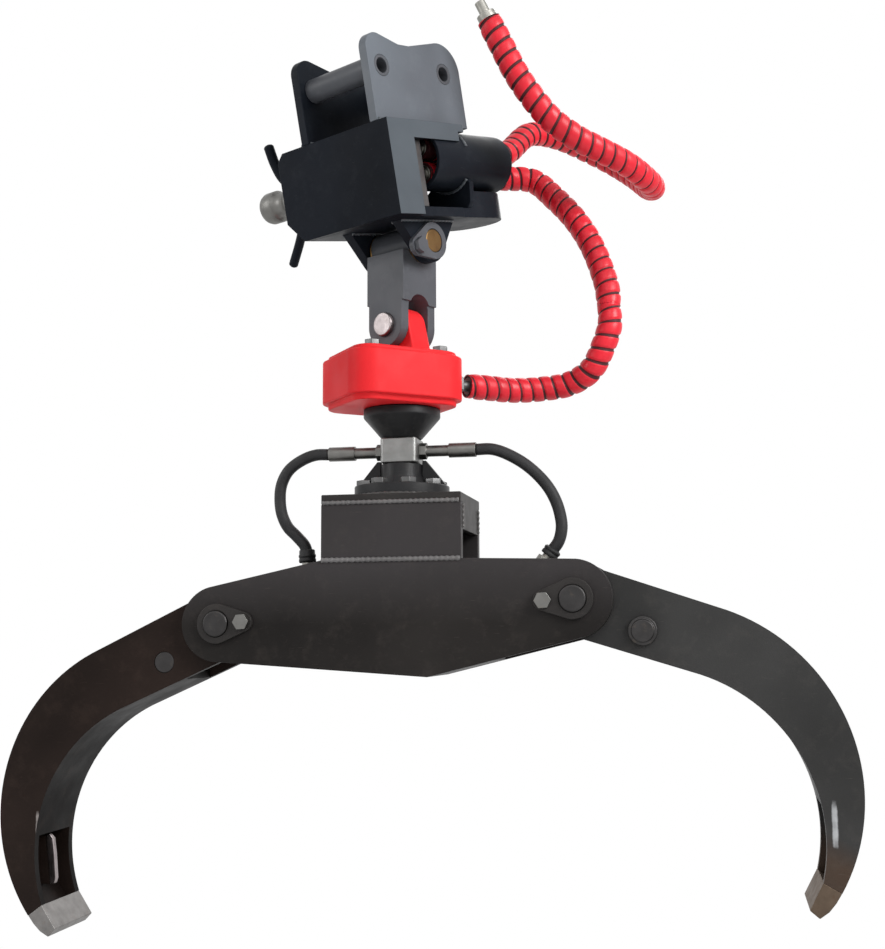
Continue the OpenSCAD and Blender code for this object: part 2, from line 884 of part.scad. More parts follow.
module mast_bolts() {
    color("silver") in_row() for (i = [0 : mast_bolt_count - 1])
        rotate([0, 0, 360 * (i + 0.5) / mast_bolt_count])
            translate([mast_bolt_pcd / 2, 0, tower_top + flange_h])
                cylinder(d = hex_ratio * mast_bolt_d, h = keeper_bolt_h, $fn = 6);
}

module tower_box() {
    color("dimgray") in_row() {
        block([-tower_w / 2, -body_half, tower_top - body_t], [tower_w / 2, body_half, tower_top]);
        for (side = [-1, 1]) scale_side(side)
            block(
                [tower_w / 2 - tower_t, -body_gap / 2, tower_foot],
                [tower_w / 2, body_gap / 2, tower_top - body_t]
            );
    }
}

// Body
module body_outline() {
    shoulder = [tower_w / 2, tower_shoulder];
    left = [-shoulder[0], shoulder[1]];
    for (p = [pivot_left, pivot_right]) translate(p) circle(body_boss_r);
    polygon([
        [left[0], tower_top - body_t], left, touch(left, pivot_left, body_boss_r, 1),
        touch(low_point, pivot_left, body_boss_r, -1), low_point,
        touch(low_point, pivot_right, body_boss_r, 1), touch(shoulder, pivot_right, body_boss_r, -1),
        shoulder, [shoulder[0], tower_top - body_t]
    ]);
}

module body_plate(y) {
    in_row() plate_xz(y, y + body_t) difference() {
        body_outline();
        for (p = [pivot_left, pivot_right]) translate(p) circle(d = pivot_d + 2 * seat);
    }
}

module body_plate_front() {
    color("dimgray") body_plate(-body_half);
}

module body_plate_back() {
    color("dimgray") body_plate(body_gap / 2);
}

module body_floor() {
    color("dimgray") in_row() plate_xz(-body_gap / 2, body_gap / 2) intersection() {
        difference() {
            body_outline();
            translate([0, floor_t]) body_outline();
        }
        translate([-floor_half, 2 * low_point[1]]) square([2 * floor_half, -2 * low_point[1]]);
    }
}

module body_ribs() {
    color("dimgray") in_row() for (side = [-1, 1]) plate_xz(-body_gap / 2, body_gap / 2)
        intersection() {
            translate([0, floor_t]) body_outline();
            translate([side * rib_x - rib_t / 2, 2 * low_point[1]])
                square([rib_t, rib_top - 2 * low_point[1]]);
        }
}

module pivot_pin(p) {
    in_row() translate([p[0], 0, p[1]]) bar_y(pivot_d, 2 * body_half + 2 * keeper_t + pin_proud);
}

module pivot_pin_left() {
    color("silver") pivot_pin(pivot_left);
}

module pivot_pin_right() {
    color("silver") pivot_pin(pivot_right);
}

module keeper_place(side) {
    p = side < 0 ? pivot_left : pivot_right;
    in_row() translate([p[0], -body_half, p[1]]) rotate([0, -pivot_tilt, 0]) scale_side(side) children();
}

module pivot_keepers() {
    color("gray") for (side = [-1, 1]) keeper_place(side) plate_xz(-keeper_t, 0) difference() {
        belt([0, 0], pivot_d / 2 + 2 * bush_t, [-keeper_reach, 0], keeper_bolt_d);
        circle(d = pivot_d + 2 * seat);
        translate([-keeper_reach, 0]) circle(d = keeper_bolt_d + 2 * seat);
    }
}

module keeper_bolts() {
    color("silver") for (side = [-1, 1]) keeper_place(side)
        translate([-keeper_reach, -keeper_t, 0]) rotate([90, 0, 0])
            hex_bolt(keeper_bolt_d, keeper_bolt_h, keeper_t);
}

// Arms, drawn in their own plane with the pivot at the origin
module arm_back(inset) {
    r = arm_outer_r - inset;
    start = back_way + 90;
    polygon([
        [neck_x, arm_outer_at[1]], arm_outer_at, arm_outer_at + (r - tuck) * unit(start),
        (arm_boss_r - inset - tuck) * unit(start), [0, 0], [neck_x, 0]
    ]);
    intersection() {
        translate(arm_outer_at) circle(r);
        translate(arm_outer_at) polygon([
            [0, 0], far * unit(tip_angle), far * unit((start + tip_angle) / 2),
            far * unit(start + wedge_lap)
        ]);
    }
}

module arm_belly(inset) {
    r = arm_inner_r + inset;
    down = unit(belly_way - 90);
    start = (arm_boss_r - inset) * down - wedge_lap * unit(belly_way);
    translate(arm_inner_at) circle(r);
    polygon([
        [start[0], arm_inner_at[1]], arm_inner_at, arm_inner_at - (r - tuck) * down, start
    ]);
}

module arm_plate() {
    belt([0, 0], arm_boss_r, lever_at, lever_eye_r);
    difference() {
        arm_back(0);
        arm_belly(0);
    }
}

module arm_holes() {
    circle(d = pivot_d + 2 * pivot_bush_t + 2 * seat);
    translate(lever_at) circle(d = cyl_pin_d + 2 * seat);
    translate(cross_pin_at) circle(d = cross_pin_d + 2 * seat);
}

module arm(side) {
    at_arm(side) {
        for (y = [-arm_w / 2, arm_w / 2 - arm_t]) plate_xz(y, y + arm_t) difference() {
            arm_plate();
            arm_holes();
        }
        plate_xz(-arm_w / 2 + arm_t, arm_w / 2 - arm_t) {
            // web along the back
            difference() {
                arm_back(0);
                arm_back(web_t);
                translate([web_start - far, -far]) square([far, 2 * far]);
            }
            // web along the inner curve, which stops short of the tip
            difference() {
                arm_belly(web_t);
                arm_belly(0);
                translate([web_start - far, -2 * far]) square([far, 4 * far]);
                translate([-far, web_low - 2 * far]) square([4 * far, 2 * far]);
            }
            // tube round the pivot
            difference() {
                circle(boss_tube_r);
                circle(d = pivot_d + 2 * pivot_bush_t + 2 * seat);
            }
        }
    }
}

module arm_left() {
    color("dimgray") arm(-1);
}

module arm_right() {
    color("dimgray") arm(1);
}

// The tip starts at the plates' end, where its ray from the back's centre meets the inner curve
tip_ray = unit(tip_angle);
tip_off = arm_outer_at - arm_inner_at;
tip_along = tip_off * tip_ray;
tip_inner_r = -tip_along + sqrt(tip_along * tip_along + arm_inner_r * arm_inner_r - tip_off * tip_off);

module arm_tip(side) {
    at_arm(side) plate_xz(-arm_w / 2, arm_w / 2) translate(arm_outer_at) polygon([
        tip_inner_r * tip_ray, arm_outer_r * tip_ray,
        arm_outer_r * unit(tip_angle - tip_sweep / 3),
        (arm_outer_r - side_gap) * unit(tip_angle - 2 * tip_sweep / 3),
        (arm_outer_r - tip_thin / 2) * unit(tip_angle - tip_sweep),
        (arm_outer_r - 2 * tip_thin) * unit(tip_angle - tip_sweep)
    ]);
}

module arm_left_tip() {
    color("tan") arm_tip(-1);
}

module arm_right_tip() {
    color("tan") arm_tip(1);
}

module arm_bush(side) {
    at_arm(side) tube_y(pivot_d + 2 * pivot_bush_t, pivot_d + 2 * running, arm_w);
}

module arm_left_bush() {
    color("goldenrod") arm_bush(-1);
}

module arm_right_bush() {
    color("goldenrod") arm_bush(1);
}

module cross_pin(side) {
    at_arm(side) translate([cross_pin_at[0], 0, cross_pin_at[1]]) {
        bar_y(cross_pin_d, arm_w);
        translate([0, side > 0 ? -arm_w / 2 : arm_w / 2, 0]) rotate([side * 90, 0, 0]) {
            cylinder(d = pin_cap_ratio * cross_pin_d, h = pin_proud);
            translate([0, 0, pin_proud]) cylinder(d = cross_pin_d, h = pin_proud / 2);
        }
    }
}

module arm_left_cross_pin() {
    color("silver") cross_pin(-1);
}

module arm_right_cross_pin() {
    color("silver") cross_pin(1);
}

// Cylinder, on the line of the pivots
module cylinder_pin(side) {
    at_arm(side) translate([lever_at[0], 0, lever_at[1]]) bar_y(cyl_pin_d, arm_w);
}

module barrel_pin() {
    color("silver") cylinder_pin(-1);
}

module rod_pin() {
    color("silver") cylinder_pin(1);
}

module at_cylinder() {
    on_pivot_line() translate([0, 0, lever_at[1]]) children();
}

module lying(from, to, d) {
    translate([from, 0, 0]) rotate([0, 90, 0]) cylinder(d = d, h = to - from);
}

module cylinder_barrel() {
    inside = -cyl_half + eye_r + base_cap;
    color("dimgray") at_cylinder() difference() {
        union() {
            translate([-cyl_half, 0, 0]) bar_y(2 * eye_r, eye_w);
            lying(-cyl_half + eye_r / 2, barrel_end, barrel_d);
            translate([port_left_x, 0, 0]) cylinder(d = port_d, h = barrel_d / 2 + boss_rise);
        }
        translate([-cyl_half, 0, 0]) bar_y(cyl_pin_d + 2 * running, eye_w + barrel_d);
        translate([-cyl_half - eye_r, 0, 0]) plate_yz(0, 2 * eye_r + cut) difference() {
            square(2 * barrel_d, center = true);
            square([eye_w, 2 * barrel_d], center = true);
        }
        lying(inside, barrel_end + cut, barrel_bore_d);
    }
}

module cylinder_gland() {
    color("silver") at_cylinder() difference() {
        lying(barrel_end, barrel_end + gland_len, barrel_d);
        lying(barrel_end - cut, barrel_end + gland_len + cut, rod_d + 2 * slide_gap);
    }
}

module port_fitting() {
    cylinder(d = port_d, h = nut_t, $fn = 6);
    cylinder(d = fitting_d, h = port_h);
}

module barrel_ports() {
    color("silver") at_cylinder() translate([port_left_x, 0, barrel_d / 2 + boss_rise]) port_fitting();
}

// The rod's side is fed through the rod, so its port sits on the rod's eye
module rod_port() {
    color("silver") at_cylinder() translate([cyl_half, 0, 0]) rotate([0, rod_port_tilt, 0])
        translate([0, 0, eye_r + boss_rise]) port_fitting();
}

module cylinder_piston() {
    start = -cyl_half + eye_r + base_cap + piston_gap;
    color("silver") at_cylinder() lying(start, start + piston_len, barrel_bore_d - 2 * slide_gap);
}

module cylinder_rod() {
    start = -cyl_half + eye_r + base_cap + piston_gap + piston_len;
    color("gainsboro") at_cylinder() difference() {
        union() {
            lying(start, cyl_half, rod_d);
            translate([cyl_half, 0, 0]) {
                bar_y(2 * eye_r, eye_w);
                rotate([0, rod_port_tilt, 0]) cylinder(d = port_d, h = eye_r + boss_rise);
            }
        }
        translate([cyl_half, 0, 0]) bar_y(cyl_pin_d + 2 * running, eye_w + cut);
    }
}

module hose_left() {
    color("black") in_row() hose(hose_left_route, hose_d, hose_steps);
}

module hose_right() {
    color("black") in_row() hose(hose_right_route, hose_d, hose_steps);
}

head_ear_right();
head_ear_left();
hitch_bar_front();
hitch_bar_rear();
head_box();
head_base();
head_lugs();
hose_sleeve();
manifold_block();
manifold_fittings();
upper_pin();
upper_pin_keeper();
lock_pin();
lock_pin_handle();
guard_hose_upper();
guard_hose_head();
hose_end_fitting();
link_block();
link_upper_bushes();
link_lower_bushes();
lower_pin();
grease_nipples();
rotator_housing();
rotator_lug();
rotator_bolts();
rotator_ports();
guard_hose_rotator();
rotor();
hose_tee();
tee_fittings();
mast();
mast_bolts();
tower_box();
body_plate_front();
body_plate_back();
body_floor();
body_ribs();
pivot_pin_left();
pivot_pin_right();
pivot_keepers();
keeper_bolts();
hose_left();
hose_right();
arm_left();
arm_left_tip();
arm_left_bush();
arm_left_cross_pin();
arm_right();
arm_right_tip();
arm_right_bush();
arm_right_cross_pin();
barrel_pin();
rod_pin();
cylinder_barrel();
cylinder_gland();
barrel_ports();
cylinder_rod();
cylinder_piston();
rod_port();
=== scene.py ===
import math

import bmesh
import bpy
from mathutils import Matrix, Vector, noise


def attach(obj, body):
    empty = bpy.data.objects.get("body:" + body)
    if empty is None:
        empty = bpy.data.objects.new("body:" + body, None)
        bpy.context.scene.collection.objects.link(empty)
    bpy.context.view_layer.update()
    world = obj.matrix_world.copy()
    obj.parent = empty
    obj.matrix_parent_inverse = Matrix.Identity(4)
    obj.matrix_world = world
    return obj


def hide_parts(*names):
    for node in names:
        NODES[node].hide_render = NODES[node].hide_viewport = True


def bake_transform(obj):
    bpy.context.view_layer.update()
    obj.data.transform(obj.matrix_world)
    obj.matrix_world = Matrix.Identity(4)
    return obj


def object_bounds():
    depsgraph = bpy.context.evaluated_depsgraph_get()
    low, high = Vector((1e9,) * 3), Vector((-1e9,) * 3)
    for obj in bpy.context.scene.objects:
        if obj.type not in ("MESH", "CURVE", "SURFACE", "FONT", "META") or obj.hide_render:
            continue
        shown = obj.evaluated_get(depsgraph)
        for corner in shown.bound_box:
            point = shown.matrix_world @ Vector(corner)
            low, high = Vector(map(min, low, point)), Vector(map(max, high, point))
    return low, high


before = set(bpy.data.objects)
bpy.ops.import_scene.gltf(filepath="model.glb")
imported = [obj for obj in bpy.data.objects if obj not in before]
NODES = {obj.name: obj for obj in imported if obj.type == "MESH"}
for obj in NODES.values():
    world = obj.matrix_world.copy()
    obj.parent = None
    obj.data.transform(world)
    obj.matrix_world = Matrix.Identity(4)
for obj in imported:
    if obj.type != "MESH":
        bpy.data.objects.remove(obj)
cad_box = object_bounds()

# Places, as in the part's source, in millimetres in the body's frame
PIVOT_TILT = math.radians(3.4)
HEAD_YAW = math.radians(-29)
HEAD_LEAN = math.radians(13)
ROTATOR_YAW = math.radians(39)
UPPER_PIN_Z = 460
FRONT_BAR = (0, -60, 209)


def turned(a, b, angle):
    """A pair of coordinates turned by an angle, from the first axis to the second."""
    c, s = math.cos(angle), math.sin(angle)
    return a * c - b * s, a * s + b * c


def head_mm(x, y, z):
    """A point of the head, measured from the upper pin, in the body's frame."""
    y, z = turned(y, z, HEAD_LEAN)
    x, y = turned(x, y, HEAD_YAW)
    return Vector((x, y, z + UPPER_PIN_Z))


def rotator_mm(x, y, z):
    """A point of the rotator in the body's frame."""
    return Vector((*turned(x, y, ROTATOR_YAW), z))


def on_line(x, z):
    """A point of the tilted line through the arms' pivots, in the body's frame."""
    x, z = turned(x, z, PIVOT_TILT)
    return Vector((x, 0, z))


ORIGIN = head_mm(*FRONT_BAR)


def G(x, y, z):
    """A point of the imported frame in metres, from the body's frame in millimetres."""
    return (Vector((x, y, z)) - ORIGIN) / 1000


def H(x, y, z):
    """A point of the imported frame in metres, from the head's frame in millimetres."""
    return (head_mm(x, y, z) - ORIGIN) / 1000


# Camera: where the photograph was taken from, its turns, and its focal length in pixels of the photograph
CAMERA_AT = (379.9, -1576.8, -32.5)
CAMERA_YAW, CAMERA_PITCH, CAMERA_ROLL = math.radians(11.77), math.radians(7.14), math.radians(-0.32)
FOCAL_PX, PHOTO_PX, SENSOR_MM = 1312, 885, 36

upright = Vector((0, 0, 1))
level_right = Vector((math.cos(CAMERA_YAW), math.sin(CAMERA_YAW), 0))
level_ahead = Vector((-math.sin(CAMERA_YAW), math.cos(CAMERA_YAW), 0))
ahead = level_ahead * math.cos(CAMERA_PITCH) + upright * math.sin(CAMERA_PITCH)
tipped_up = upright * math.cos(CAMERA_PITCH) - level_ahead * math.sin(CAMERA_PITCH)
camera_right = level_right * math.cos(CAMERA_ROLL) + tipped_up * math.sin(CAMERA_ROLL)
camera_up = tipped_up * math.cos(CAMERA_ROLL) - level_right * math.sin(CAMERA_ROLL)
camera_data = bpy.data.cameras.new("camera")
camera = bpy.data.objects.new("camera", camera_data)
bpy.context.scene.collection.objects.link(camera)
camera_data.sensor_fit = "HORIZONTAL"
camera_data.sensor_width = SENSOR_MM
camera_data.lens = FOCAL_PX / PHOTO_PX * SENSOR_MM
camera_data.clip_start = 0.01
camera_data.clip_end = 60
stand = Matrix((camera_right, camera_up, -ahead)).transposed().to_4x4()
stand.translation = G(*CAMERA_AT)
camera.matrix_world = stand
bpy.context.scene.camera = camera


# Materials
class Graph:
    """A material's nodes, with short ways to add the ones used here."""

    def __init__(self, name):
        self.mat = bpy.data.materials.new(name)
        self.mat.use_nodes = True
        self.tree = self.mat.node_tree
        self.shader = self.tree.nodes["Principled BSDF"]
        place = self.tree.nodes.new("ShaderNodeTexCoord")
        self.where = place.outputs["Object"]
        self.facing = place.outputs["Normal"]

    def node(self, kind, **sockets):
        n = self.tree.nodes.new("ShaderNode" + kind)
        for k, v in sockets.items():
            self.put(n.inputs[k.replace("_", " ")], v)
        return n

    def put(self, socket, value):
        if isinstance(value, bpy.types.NodeSocket):
            self.tree.links.new(value, socket)
        else:
            socket.default_value = value

    def noise(self, scale, detail=3.0, rough=0.55, stretch=None):
        where = self.where
        if stretch:
            m = self.node("Mapping", Vector=where)
            m.inputs["Scale"].default_value = stretch
            where = m.outputs[0]
        n = self.node("TexNoise", Vector=where, Scale=scale, Detail=detail, Roughness=rough)
        return n.outputs["Fac"]

    def ramp(self, value, low, high, a=0.0, b=1.0):
        n = self.node("MapRange", Value=value)
        n.inputs["From Min"].default_value = low
        n.inputs["From Max"].default_value = high
        n.inputs["To Min"].default_value = a
        n.inputs["To Max"].default_value = b
        return n.outputs[0]

    def math(self, operation, *values):
        n = self.tree.nodes.new("ShaderNodeMath")
        n.operation = operation
        for socket, v in zip(n.inputs, values):
            self.put(socket, v)
        return n.outputs[0]

    def along(self, source, way):
        """How far a vector reaches along a fixed way."""
        n = self.tree.nodes.new("ShaderNodeVectorMath")
        n.operation = "DOT_PRODUCT"
        self.put(n.inputs[0], source)
        n.inputs[1].default_value = way
        return n.outputs["Value"]

    def mix(self, fac, a, b):
        n = self.tree.nodes.new("ShaderNodeMix")
        n.data_type = "RGBA"
        self.put(n.inputs[0], fac)
        for socket, v in ((n.inputs[6], a), (n.inputs[7], b)):
            self.put(socket, v if isinstance(v, bpy.types.NodeSocket) else (*v, 1))
        return n.outputs[2]

    def bump(self, height, strength, distance, normal=None):
        n = self.node("Bump", Height=height, Strength=strength, Distance=distance)
        if normal:
            self.put(n.inputs["Normal"], normal)
        return n.outputs[0]

    def done(self, color, rough, **values):
        self.put(self.shader.inputs["Base Color"], color)
        self.put(self.shader.inputs["Roughness"], rough)
        for k, v in values.items():
            self.put(self.shader.inputs[k.replace("_", " ")], v)
        return self.mat


def shade(c, k):
    """A colour made darker or lighter by a factor."""
    return tuple(v * k for v in c)


def light_front_patch(g, x, half_width, z, half_length):
    """Share of a light patch with a broken edge, on the faces that look to the front."""
    place = g.node("SeparateXYZ", Vector=g.where)
    face = g.node("SeparateXYZ", Vector=g.facing)
    worn = g.ramp(face.outputs["Y"], -0.7, -0.95)
    for axis, middle, half in (("X", x, half_width), ("Z", z, half_length)):
        off = g.math("ABSOLUTE", g.math("SUBTRACT", place.outputs[axis], middle))
        worn = g.math("MULTIPLY", worn, g.ramp(off, half * 1.25, half * 0.6))
    broken = g.ramp(g.noise(70, 3), 0.3, 0.7, -0.3, 0.3)
    return g.ramp(g.math("ADD", worn, broken), 0.35, 1.1)


def painted(name, color, rough=0.42, spec=0.3, dust=(0.2, 0.19, 0.17), amount=0.12, patch=0.25,
            side=None, fade=None, scuff=None):
    """Sprayed paint: slow colour drift, orange peel, fine scratches and a little dust.

    side is (way, colour, from, to) for painted light or painted shade on the faces that look that way, and
    fade is
    the same for places along a way: rust on one arm, a painted sheen along the plates' tops.
    scuff is (x, half width, z, half length, colour) for a light patch on the front faces: paint worn through
    on the right arm, a light streak above the pocket on the left arm.
    """
    g = Graph(name)
    drift = g.ramp(g.noise(7, 2), 0.3, 0.7)
    base = g.mix(drift, shade(color, 1 - patch), shade(color, 1 + patch))
    for source, change in ((g.facing, side), (g.where, fade)):
        if change:
            way, tint, low, high = change
            cover = g.ramp(g.along(source, way), low, high)
            cover = g.math("MULTIPLY", cover, g.ramp(g.noise(9, 3), 0.25, 0.6, 0.75, 1.0))
            base = g.mix(cover, base, tint)
    if scuff:
        base = g.mix(light_front_patch(g, *scuff[:4]), base, scuff[4])
    scratch = g.ramp(g.noise(55, 4, 0.7, (1, 1, 14)), 0.66, 0.74, 0, 0.35)
    base = g.mix(scratch, base, shade(dust, 0.8))
    dirt = g.ramp(g.noise(38, 8, 0.7), 0.52, 0.8, 0, amount)
    base = g.mix(dirt, base, dust)
    r = g.ramp(g.noise(24, 5), 0.25, 0.75, rough - 0.08, rough + 0.12)
    peel = g.bump(g.noise(420, 2), 0.12, 0.0006)
    n = g.bump(g.noise(18, 2), 0.08, 0.002, peel)
    return g.done(base, r, Normal=n, Specular_IOR_Level=spec)


def metal(name, color, rough=0.35, grain=(1, 1, 1), stain=(0.2, 0.16, 0.12), amount=0.25):
    """Turned or plated metal with fine tool marks and light stains."""
    g = Graph(name)
    base = g.mix(g.ramp(g.noise(60, 4), 0.3, 0.7), shade(color, 0.82), shade(color, 1.08))
    spots = g.ramp(g.noise(95, 7, 0.7), 0.56, 0.76, 0, amount)
    base = g.mix(spots, base, stain)
    r = g.ramp(g.noise(80, 4), 0.3, 0.7, rough - 0.08, rough + 0.12)
    n = g.bump(g.noise(700, 3, 0.6, grain), 0.18, 0.0003)
    return g.done(base, r, Normal=n, Metallic=1.0)


def rubber(name, color, rough=0.55):
    """Matt hose rubber with a fine grain and some dust."""
    g = Graph(name)
    base = g.mix(g.ramp(g.noise(30, 4), 0.3, 0.7), shade(color, 0.7), shade(color, 1.4))
    base = g.mix(g.ramp(g.noise(70, 8, 0.75), 0.58, 0.8, 0, 0.25), base, (0.13, 0.12, 0.11))
    n = g.bump(g.noise(1300, 2), 0.25, 0.0004)
    r = g.ramp(g.noise(40, 3), 0.3, 0.7, rough - 0.1, rough + 0.12)
    return g.done(base, r, Normal=n, Specular_IOR_Level=0.35)


def plastic(name, color, rough=0.38):
    """Moulded plastic, a little faded and soiled."""
    g = Graph(name)
    base = g.mix(g.ramp(g.noise(16, 3), 0.3, 0.7), shade(color, 0.78), shade(color, 1.15))
    base = g.mix(g.ramp(g.noise(60, 7, 0.75), 0.6, 0.8, 0, 0.3), base, shade(color, 0.35))
    n = g.bump(g.noise(500, 2), 0.1, 0.0005)
    r = g.ramp(g.noise(50, 3), 0.3, 0.7, rough - 0.08, rough + 0.15)
    return g.done(base, r, Normal=n, Specular_IOR_Level=0.4)


FRAME = painted("frame_black", (0.026, 0.0235, 0.0225), 0.46, 0.20, (0.15, 0.125, 0.11), 0.12, 0.35)
# PLATE is lighter towards the top of each plate: a painted sheen.
PLATE = painted("plate_black", (0.0175, 0.0155, 0.0145), 0.46, 0.11, (0.15, 0.125, 0.11), 0.12, 0.35,
                fade=((0, 0, 1), (0.046, 0.042, 0.043), -0.665, -0.595))
# ARM_LEFT is a darker, shaded copy and ARM_RIGHT a lighter, lit copy of the arms' one paint: painted shade
# and painted light. Each one's side tint darkens the faces that look inwards and down: a painted shade.
# The left arm's scuff is a light vertical streak on its front faces, above the pocket.
ARM_LEFT = painted("arm_black_warm", (0.0175, 0.0115, 0.0095), 0.50, 0.08, (0.11, 0.075, 0.06), 0.14, 0.35,
                   side=((0.85, 0, -0.5), (0.0025, 0.002, 0.002), 0.25, 0.6),
                   scuff=(-0.4025, 0.0022, -0.907, 0.015, (0.30, 0.27, 0.26)))
ARM_RIGHT = painted("arm_black", (0.034, 0.0335, 0.033), 0.48, 0.18, (0.15, 0.135, 0.12), 0.14, 0.35,
                    side=((-0.85, 0, -0.5), (0.0025, 0.002, 0.002), 0.25, 0.6),
                    fade=((-0.45, 0, -0.9), (0.060, 0.038, 0.026), 0.562, 0.590),
                    scuff=(0.5490, 0.0034, -0.886, 0.027, (0.42, 0.43, 0.44)))
# The head's one paint is split into copies: HEAD and HEAD_BOX are dark, a painted shade, and EAR on the right
# ear is light, a painted light.
HEAD = painted("head_blue_black_shaded", (0.010, 0.0125, 0.0175), 0.42, 0.06, (0.10, 0.11, 0.12), 0.10, 0.3)
# HEAD_BOX's side tint lightens the faces that look right: a painted light.
HEAD_BOX = painted("head_box_shaded_and_lit", (0.0085, 0.0105, 0.015), 0.42, 0.05, (0.09, 0.10, 0.11), 0.10, 0.3,
                   side=((0.8746, -0.4848, 0), (0.100, 0.115, 0.130), 0.55, 0.95))
EAR = painted("ear_blue_grey_lit", (0.112, 0.127, 0.147), 0.42, 0.35, (0.25, 0.27, 0.29), 0.12, 0.2)
LINK = painted("link_grey", (0.072, 0.076, 0.086), 0.42, 0.3, (0.25, 0.26, 0.28), 0.16, 0.3)
ROTOR = painted("rotor_black", (0.012, 0.012, 0.013), 0.42, 0.25, (0.14, 0.13, 0.12), 0.16)
RED = painted("rotator_red", (0.84, 0.024, 0.030), 0.48, 0.14, (0.5, 0.12, 0.11), 0.10, 0.10)
GUARD = plastic("guard_red", (0.72, 0.012, 0.028))
# GROOVE is a painted shade: the crease between the guard's turns, its first turns inside the sleeve and its
# cut ends.
GROOVE = plastic("guard_groove_shaded", (0.05, 0.004, 0.006), 0.6)
HOSE = rubber("hose_black", (0.016, 0.016, 0.017))
BRASS = metal("brass", (0.384, 0.223, 0.081), 0.36, stain=(0.16, 0.08, 0.03), amount=0.45)
ZINC = metal("zinc", (0.310, 0.304, 0.279), 0.38, amount=0.3)
ZINC_MID = metal("zinc_mid", (0.186, 0.183, 0.174), 0.42, amount=0.35)
ZINC_DARK = metal("zinc_dark", (0.124, 0.124, 0.124), 0.42, amount=0.4)
PIN = metal("pin_steel", (0.223, 0.223, 0.229), 0.33, (1, 8, 1))
# PIN_PINK's pink tint is a painted reflection of the red rotator.
PIN_PINK = metal("pin_pink_reflection", (0.310, 0.273, 0.273), 0.38, amount=0.3)
PIN_DARK = metal("pin_dark", (0.053, 0.051, 0.051), 0.42, amount=0.3)
CHROME = metal("chrome", (0.80, 0.80, 0.82), 0.10, (20, 1, 1), amount=0.04)
BARE = metal("bare_steel", (0.223, 0.214, 0.208), 0.5, (6, 1, 1), (0.2, 0.15, 0.12), 0.4)
RUSTED = metal("rusted_steel", (0.130, 0.096, 0.071), 0.55, (6, 1, 1), (0.10, 0.05, 0.03), 0.5)
BRASS_OLD = metal("brass_old", (0.186, 0.112, 0.046), 0.42, stain=(0.08, 0.05, 0.03), amount=0.5)
ALLOY = metal("alloy", (0.260, 0.260, 0.254), 0.42, amount=0.3)
WELD = painted("weld_black", (0.05, 0.046, 0.044), 0.36, 0.5, (0.2, 0.17, 0.15), 0.2)
# WELD_LIGHT is a painted highlight for the tower's front welds.
WELD_LIGHT = painted("weld_painted_highlight", (0.13, 0.125, 0.125), 0.36, 0.5, (0.25, 0.23, 0.21), 0.25)
HEAD_WELD = painted("weld_blue_grey", (0.07, 0.08, 0.09), 0.36, 0.5, (0.25, 0.25, 0.25), 0.2)

# The CAD nodes' materials, and their edges' rounding in millimetres where it isn't the usual one
DRESS = {
    FRAME: "tower_box body_floor body_ribs cylinder_barrel pivot_keepers",
    PLATE: "body_plate_front body_plate_back",
    ARM_RIGHT: "arm_right",
    ARM_LEFT: "arm_left",
    HEAD_BOX: "head_box",
    HEAD: "head_base head_lugs hose_sleeve lock_pin_handle head_ear_left",
    EAR: "head_ear_right",
    LINK: "link_block hitch_bar_front hitch_bar_rear upper_pin_keeper",
    ROTOR: "rotor mast",
    RED: "rotator_housing rotator_lug",
    BRASS: "link_upper_bushes link_lower_bushes arm_left_bush arm_right_bush grease_nipples",
    ZINC_MID: "tee_fittings keeper_bolts lock_pin",
    ZINC: "manifold_fittings barrel_ports rod_port hose_end_fitting",
    ZINC_DARK: "mast_bolts rotator_bolts cylinder_gland manifold_block rotator_ports",
    PIN: "barrel_pin rod_pin cylinder_piston",
    BRASS_OLD: "upper_pin",
    PIN_PINK: "lower_pin",
    PIN_DARK: "pivot_pin_left pivot_pin_right arm_left_cross_pin arm_right_cross_pin",
    CHROME: "cylinder_rod",
    BARE: "arm_left_tip",
    RUSTED: "arm_right_tip",
    ALLOY: "hose_tee",
    GUARD: "guard_hose_upper guard_hose_head guard_hose_rotator",
    HOSE: "hose_left hose_right",
}
BEVEL = {
    "rotator_housing": 3.0, "rotator_lug": 2.5, "link_block": 2.0, "arm_left": 1.2, "arm_right": 1.2,
    "tower_box": 1.2, "hose_tee": 2.5, "manifold_block": 1.5, "lower_pin": 2.0, "upper_pin": 2.0,
    "pivot_pin_left": 2.5, "pivot_pin_right": 2.5, "arm_left_cross_pin": 2.5, "arm_right_cross_pin": 2.5,
    "arm_left_tip": 1.0, "arm_right_tip": 1.0, "hose_sleeve": 1.0, "lock_pin": 2.5, "lock_pin_handle": 2.0,
    "rotor": 1.2, "mast": 1.2, "hitch_bar_front": 1.0, "hitch_bar_rear": 1.0,
}
USUAL_BEVEL = 0.8


MERGE_WITHIN = 0.00002
FLAT_WITHIN, SHARP_FROM = math.radians(0.4), math.radians(32)


def smooth(obj, width):
    """Welds the imported faces together, joins the flat ones, rounds the edges and evens the shading."""
    weld = obj.modifiers.new("weld", "WELD")
    weld.merge_threshold = MERGE_WITHIN
    flat = obj.modifiers.new("flat", "DECIMATE")
    flat.decimate_type = "DISSOLVE"
    flat.angle_limit = FLAT_WITHIN
    bevel = obj.modifiers.new("round", "BEVEL")
    bevel.width = width / 1000
    bevel.segments = 2
    bevel.limit_method = "ANGLE"
    bevel.angle_limit = SHARP_FROM
    bevel.use_clamp_overlap = True
    even = obj.modifiers.new("even", "WEIGHTED_NORMAL")
    even.keep_sharp = True
    for p in obj.data.polygons:
        p.use_smooth = True
    return obj


for mat, names in DRESS.items():
    for name in names.split():
        o = NODES[name]
        o.data.materials.clear()
        o.data.materials.append(mat)
        smooth(o, BEVEL.get(name, USUAL_BEVEL))


